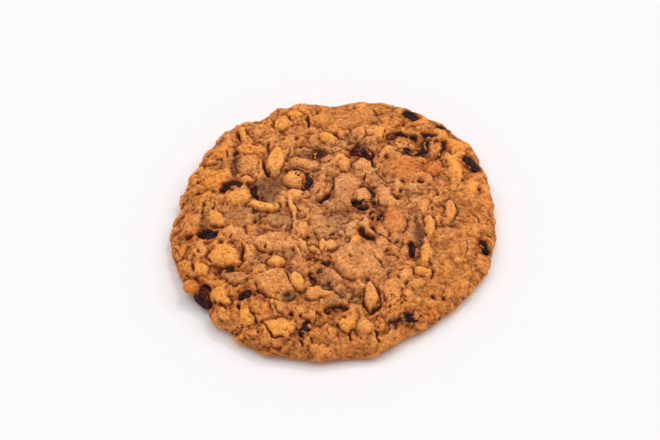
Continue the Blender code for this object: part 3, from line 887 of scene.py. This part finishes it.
def crust_colours(crust, edges):
    """The dough's colour at each point, from what lies there, with painted shade by how deep in a crevice
    or hollow it is and painted light on the tops of lumps.
    """
    close, middle, wide = (
        neighbour_smoothing(crust.height, edges, rounds) - crust.height
        for rounds in (CLOSE_ROUNDS, MIDDLE_ROUNDS, WIDE_ROUNDS)
    )
    shade = 0.55 * crust.tone + 0.42 * crust.fine + 0.2 * crust.grain
    # Painted shade: darker where the crust lies below its close neighbours, in its crevices and cracks
    shade -= 1.2 * smooth_step(0.02, 0.3, close)
    # Painted shade and light from the crust's form: darker in its hollows, lighter on the tops of its lumps
    hollow = 0.36 * np.tanh(middle / 0.28) + 0.3 * np.tanh(wide / 0.7)
    shade += 0.75 * np.maximum(-hollow, 0)
    # Painted shade round the raisins' pockets
    shade -= 0.85 * crust.pocket_shade
    reach = np.hypot(crust.x, crust.y)
    crust.hue_shares["pale"] += 0.35 * (1 - smooth_step(12, 34, reach))
    crust.hue_shares["orange"] += 0.5 * smooth_step(20, 42, reach)
    # Painted light: the tops of the lumps turned golden
    crust.hue_shares["gold"] += 0.9 * np.maximum(-hollow, 0)
    hue = np.exp(0.35 * crust.fleck[:, None] * HUE_FLECK)
    for name, share in crust.hue_shares.items():
        hue *= HUES[name] ** share[:, None]
    lighter = 0.42 * np.tanh(np.maximum(shade, 0) / 0.5)[:, None] * LIGHTER_BY_CHANNEL
    darker = np.minimum(shade, 0)[:, None] * SHADE_BY_CHANNEL
    # Painted shade in the hollows
    hollow_shade = np.maximum(hollow, 0)[:, None] * HOLLOW_SHADE_BY_CHANNEL
    colour = CRUST * hue * np.exp(lighter + darker - hollow_shade)
    return np.clip(colour, 0.0, 0.95)


def new_material(name):
    """A material, its Principled BSDF and two helpers that add and link nodes."""
    made = bpy.data.materials.new(name)
    made.use_nodes = True
    tree = made.node_tree
    shader = tree.nodes["Principled BSDF"]

    def add(kind, **values):
        node = tree.nodes.new(kind)
        for key, value in values.items():
            if key in node.inputs:
                node.inputs[key].default_value = value
            else:
                setattr(node, key, value)
        return node

    return made, shader, add, tree.links.new


def remapped(add, link, source, span, to):
    """The output of a node that carries a value's span over to another one, and holds it there."""
    node = add("ShaderNodeMapRange")
    ends = dict(zip(("From Min", "From Max", "To Min", "To Max"), (*span, *to)))
    for name, value in ends.items():
        node.inputs[name].default_value = value
    link(source, node.inputs["Value"])
    return node.outputs["Result"]


def dough_material():
    """Baked dough: its colour from the mesh, broken up by fine grain and specks, with a rough skin."""
    made, shader, add, link = new_material("baked_dough")
    place = add("ShaderNodeTexCoord")
    colour = add("ShaderNodeAttribute", attribute_name="dough_colour")
    grain = add("ShaderNodeTexNoise", Scale=1 / (GRAIN_SIZE * MM), Detail=3.0, Roughness=0.65)
    link(place.outputs["Object"], grain.inputs["Vector"])
    grain_colour = add("ShaderNodeValToRGB")
    dark, light = grain_colour.color_ramp.elements
    dark.position, dark.color = 0.33, GRAIN_DARK
    light.position, light.color = 0.66, GRAIN_LIGHT
    link(grain.outputs["Fac"], grain_colour.inputs["Fac"])
    speck = add("ShaderNodeTexNoise", Scale=1 / (SPECK_SIZE * MM), Detail=2.0, Roughness=0.7)
    link(place.outputs["Object"], speck.inputs["Vector"])
    speckled = add("ShaderNodeVectorMath", operation="SCALE")
    link(grain_colour.outputs["Color"], speckled.inputs[0])
    speck_light = remapped(add, link, speck.outputs["Fac"], (0.3, 0.7), (1.1, 1.5))
    link(speck_light, speckled.inputs["Scale"])
    crust_colour = add("ShaderNodeVectorMath", operation="MULTIPLY")
    link(colour.outputs["Color"], crust_colour.inputs[0])
    link(speckled.outputs["Vector"], crust_colour.inputs[1])
    link(crust_colour.outputs["Vector"], shader.inputs["Base Color"])
    bump = add("ShaderNodeBump", Strength=1.0, Distance=0.35 * MM)
    link(grain.outputs["Fac"], bump.inputs["Height"])
    link(bump.outputs["Normal"], shader.inputs["Normal"])
    rough = remapped(add, link, grain.outputs["Fac"], (0, 1), (0.95, 0.6))
    link(rough, shader.inputs["Roughness"])
    shader.inputs["Specular IOR Level"].default_value = 0.25
    return made


def raisin_material():
    """Dark purple-brown skin with a soft gloss, under a film of dough where the mesh says so."""
    made, shader, add, link = new_material("raisin_skin")
    place = add("ShaderNodeTexCoord")
    skin = add("ShaderNodeTexNoise", Scale=1 / (SKIN_PATCH_SIZE * MM), Detail=4.0)
    link(place.outputs["Object"], skin.inputs["Vector"])
    skin_colour = add("ShaderNodeAttribute", attribute_name="skin_colour")
    patchy = add("ShaderNodeVectorMath", operation="SCALE")
    link(skin_colour.outputs["Color"], patchy.inputs[0])
    light = remapped(add, link, skin.outputs["Fac"], (0.3, 0.7), (0.4, 1.8))
    link(light, patchy.inputs["Scale"])
    film = add("ShaderNodeAttribute", attribute_name="film")
    dough = add("ShaderNodeAttribute", attribute_name="dough_colour")
    mix = add("ShaderNodeMix", data_type="RGBA")
    link(film.outputs["Fac"], mix.inputs["Factor"])
    link(patchy.outputs["Vector"], mix.inputs["A"])
    link(dough.outputs["Color"], mix.inputs["B"])
    link(mix.outputs["Result"], shader.inputs["Base Color"])
    rough = remapped(add, link, film.outputs["Fac"], (0, 1), (0.3, 0.85))
    link(rough, shader.inputs["Roughness"])
    bump = add("ShaderNodeBump", Strength=0.5, Distance=0.25 * MM)
    link(skin.outputs["Fac"], bump.inputs["Height"])
    link(bump.outputs["Normal"], shader.inputs["Normal"])
    shader.inputs["Specular IOR Level"].default_value = 0.16
    return made


def add_mesh(name, points, faces, material, attributes=()):
    """An object from points in millimetres. attributes are (name, type, values) at each point."""
    mesh = bpy.data.meshes.new(name)
    mesh.from_pydata((np.asarray(points) * MM).tolist(), [], faces)
    for attribute, kind, values in attributes:
        data = mesh.attributes.new(attribute, kind, "POINT").data
        if kind == "FLOAT_COLOR":
            values = np.column_stack([values, np.ones(len(values))])
            data.foreach_set("color", values.ravel())
        else:
            data.foreach_set("value", values)
    mesh.materials.append(material)
    mesh.shade_smooth()
    made = bpy.data.objects.new(name, mesh)
    bpy.context.scene.collection.objects.link(made)
    return made


def face_edges(faces):
    """The pairs of point numbers that the triangles' sides join, each once."""
    faces = np.array(faces)
    pairs = np.concatenate([faces[:, [0, 1]], faces[:, [1, 2]], faces[:, [2, 0]]])
    return np.unique(np.sort(pairs, axis=1), axis=0)


def shape_crust(seats, places, edges):
    """The crust with everything in it, in the order in which it lies."""
    crust = Crust(places)
    for hollow in HOLLOWS:
        crust.add_hollow(Hollow(*hollow))
    scatter_flakes(crust)
    for row in LUMPS:
        lump = Lump(*row)
        stronger = lump._replace(rise=lump.rise * NAMED_RISE, tone=lump.tone * NAMED_TONE)
        crust.add_lump(stronger, raggedness=0.6, blend=0.22, hue_share=0.65)
    crust.soften(edges)
    for crack in CRACKS:
        crust.add_crack(Crack(*crack))
    for pit in PITS:
        crust.add_pit(*pit)
    for patch in PATCHES:
        crust.add_patch(Patch(*patch))
    crust.add_squiggles()
    openings = [Opening(*row) for row in OPENINGS]
    for opening in openings:
        middle = np.mean(opening.route, axis=0)
        crust.cover_raisin(seats[opening.raisin], *middle)
    for opening in openings:
        crust.open_raisin(seats[opening.raisin], opening)
    return crust


def make_dough(seats, material):
    """The dough's fine mesh, closed by a flat underside."""
    places = disc_map(CRUST_RINGS, CRUST_REACH)
    crust_faces = disc_faces(CRUST_RINGS)
    edges = face_edges(crust_faces)
    crust = shape_crust(seats, places, edges)
    points, normals, height = crust_frame(crust.x, crust.y)
    fade = smooth_step(RELIEF_STARTS_AT, RELIEF_FULL_AT, height)
    points = points + normals * (crust.height * fade)[:, None]
    points[:, 2] = np.maximum(points[:, 2], 0.0)
    colours = crust_colours(crust, edges)
    base = disc_map(BASE_RINGS, BASE_INNER_RADIUS)
    base_stretch = rim_stretch(np.arctan2(base[:, 1], base[:, 0]), np.full(len(base), CRUST_REACH))
    base_points = np.column_stack([base * base_stretch[:, None], np.zeros(len(base))])
    start = len(points)
    base_faces = disc_faces(BASE_RINGS, start)
    seam = stitch(ring_numbers(BASE_RINGS, start), ring_numbers(CRUST_RINGS))
    faces = crust_faces + [face[::-1] for face in base_faces + seam]
    speckle = noise_at(base_points, 1.4, 11) + 0.6 * noise_at(base_points, 6.0, 12)
    base_colours = UNDERSIDE * (1 + 0.45 * speckle)[:, None]
    all_points = np.concatenate([points, base_points])
    all_colours = np.concatenate([colours, base_colours])
    attributes = [("dough_colour", "FLOAT_COLOR", all_colours)]
    dough = add_mesh("dough_crust", all_points, faces, material, attributes)
    return dough, points, normals, colours


def icosphere(subdivisions):
    """(points, faces) of a unit sphere of even triangles."""
    bpy.ops.mesh.primitive_ico_sphere_add(subdivisions=subdivisions, radius=1)
    made = bpy.context.object
    points = np.array([v.co[:] for v in made.data.vertices])
    faces = [tuple(p.vertices) for p in made.data.polygons]
    mesh = made.data
    bpy.data.objects.remove(made)
    bpy.data.meshes.remove(mesh)
    return points, faces


def raisin_shape(sphere, seat, seed):
    """A raisin's wrinkled skin: lengthwise furrows that wander, and dimples between them."""
    along = sphere[:, 0]
    wander = noise_at(sphere, 0.7, seed)
    roll = np.arctan2(sphere[:, 2], sphere[:, 1]) + 0.8 * wander + 0.3 * along
    furrows = np.abs(np.sin(roll * 2.5 + 1.4 * noise_at(sphere, 0.5, seed + 1)))
    small = np.abs(noise_at(sphere, 0.22, seed + 2))
    depth = 0.26 * (1 - furrows) ** 1.5 * (1 - along**4) + 0.3 * small
    depth += 0.1 * noise_at(sphere, 0.9, seed + 3)
    body = sphere * (1.08 - depth)[:, None]
    return seat.middle + (body * seat.half_sizes) @ seat.directions, depth


def make_raisin(node, seat, number, sphere, faces, material):
    """One raisin, fitted to its node, with its film of dough on its raised parts."""
    points, depth = raisin_shape(sphere, seat, number * 3.7)
    amount = FILMS.get(node.name, BARE_FILM)
    patchy = noise_at(points, 1.8, number + 40) + 0.4 * noise_at(points, 0.7, number + 41)
    cover = patchy + 0.5 - 2.2 * depth + 1.6 * (amount - 0.5)
    film = smooth_step(0.0, 0.35, cover) * (amount > BARE_FILM)
    # Painted shade: the film is darker the deeper it lies in the skin's furrows
    dough = CRUST * np.exp(np.clip(patchy - 0.4 - 2 * depth, -1.5, 0.2)[:, None] * SHADE_BY_CHANNEL)
    redness = REDDISH.get(node.name, USUAL_REDNESS)
    # Redder on the ridges: partly the skin's own red, partly painted highlight
    ridge_highlight = np.clip(0.8 - 3 * depth + 0.5 * patchy, 0, 1)[:, None]
    skin = RAISIN_DARK + (RAISIN_RED_AND_HIGHLIGHT - RAISIN_DARK) * redness * ridge_highlight
    attributes = [
        ("film", "FLOAT", film),
        ("dough_colour", "FLOAT_COLOR", dough),
        ("skin_colour", "FLOAT_COLOR", skin),
    ]
    piece = add_mesh(f"{node.name}_skin", points, faces, material, attributes)
    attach(piece, "root")
    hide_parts(node.name)


def crumb_places(picker, count, points, normals):
    """Point numbers on the top and rim of the dough, picked evenly."""
    upward = np.nonzero((normals[:, 2] > STEEPEST_CRUMB) & (points[:, 2] > LOWEST_CRUMB))[0]
    return [int(picker.choice(upward)) for _ in range(count)]


def make_crumbs(points, normals, colours, material):
    """Small grains of dough stuck all over the crust, joined into one piece."""
    picker = random.Random(8)
    unit, unit_faces = icosphere(1)
    all_points, all_faces, all_colours = [], [], []
    for place in crumb_places(picker, CRUMB_COUNT, points, normals):
        size = picker.uniform(*CRUMB_SIZES) * picker.uniform(0.6, 1)
        stretch = np.array([picker.uniform(0.6, 1.3) for _ in range(3)]) * size / 2
        turned = np.array(Matrix.Rotation(picker.uniform(0, 6), 3, Vector((1, picker.random(), 1))))
        jitter = np.array([picker.uniform(0.75, 1.2) for _ in range(len(unit))])[:, None]
        body = (unit * jitter * stretch) @ turned.T
        start = len(all_points) * len(unit)
        all_points.append(body + points[place] + normals[place] * size * CRUMB_LIFT)
        all_faces += [tuple(start + i for i in face) for face in unit_faces]
        tone = picker.uniform(0.85, 1.25)
        all_colours.append(np.tile(colours[place] * tone, (len(unit), 1)))
    attributes = [("dough_colour", "FLOAT_COLOR", np.concatenate(all_colours))]
    piece = add_mesh("crumbs", np.concatenate(all_points), all_faces, material, attributes)
    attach(piece, "root")


def make_floor():
    bpy.ops.mesh.primitive_plane_add(size=4)
    floor = bpy.context.object
    floor.name = "floor"
    made, shader, _, _ = new_material("pale_floor")
    shader.inputs["Base Color"].default_value = FLOOR_COLOUR
    shader.inputs["Roughness"].default_value = 0.9
    shader.inputs["Specular IOR Level"].default_value = 0.0
    floor.data.materials.append(made)


def add_sun(name, bearing, elevation, strength, spread, colour):
    lamp = bpy.data.lights.new(name, "SUN")
    lamp.energy = strength
    lamp.angle = math.radians(spread)
    lamp.color = colour
    sun = bpy.data.objects.new(name, lamp)
    bearing, elevation = math.radians(bearing), math.radians(elevation)
    outward = math.cos(elevation)
    towards = Vector((outward * math.cos(bearing), outward * math.sin(bearing), math.sin(elevation)))
    sun.rotation_euler = towards.to_track_quat("Z", "Y").to_euler()
    bpy.context.scene.collection.objects.link(sun)


def make_light():
    """A soft studio: fill from all round, a broad light overhead and a key from behind on the right."""
    world = bpy.data.worlds.new("studio")
    bpy.context.scene.world = world
    world.use_nodes = True
    background = world.node_tree.nodes["Background"]
    background.inputs["Color"].default_value = FILL_COLOUR
    background.inputs["Strength"].default_value = FILL_STRENGTH
    for sun in SUNS:
        add_sun(*sun)


def make_camera():
    lens = bpy.data.cameras.new("camera")
    lens.lens = CAMERA_LENS
    camera = bpy.data.objects.new("camera", lens)
    elevation = math.radians(CAMERA_ELEVATION)
    back = Vector((0, -math.cos(elevation), math.sin(elevation)))
    camera.location = (Vector(CAMERA_AIM) + back * CAMERA_DISTANCE) * MM
    camera.rotation_euler = (math.pi / 2 - elevation, 0, 0)
    bpy.context.scene.collection.objects.link(camera)
    bpy.context.scene.camera = camera


def main():
    raisins = [node for name, node in sorted(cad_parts.items()) if name.startswith("raisin")]
    seats = {node.name: RaisinSeat(node) for node in raisins}
    dough_skin = dough_material()
    dough, points, normals, colours = make_dough(seats, dough_skin)
    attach(dough, "root")
    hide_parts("dough")
    raisin_skin = raisin_material()
    sphere, faces = icosphere(RAISIN_SUBDIVISIONS)
    for number, node in enumerate(raisins):
        make_raisin(node, seats[node.name], number, sphere, faces, raisin_skin)
    make_crumbs(points, normals, colours, dough_skin)
    make_floor()
    make_light()
    make_camera()
    bpy.context.scene.view_settings.view_transform = "Standard"


main()
bpy.context.view_layer.update()
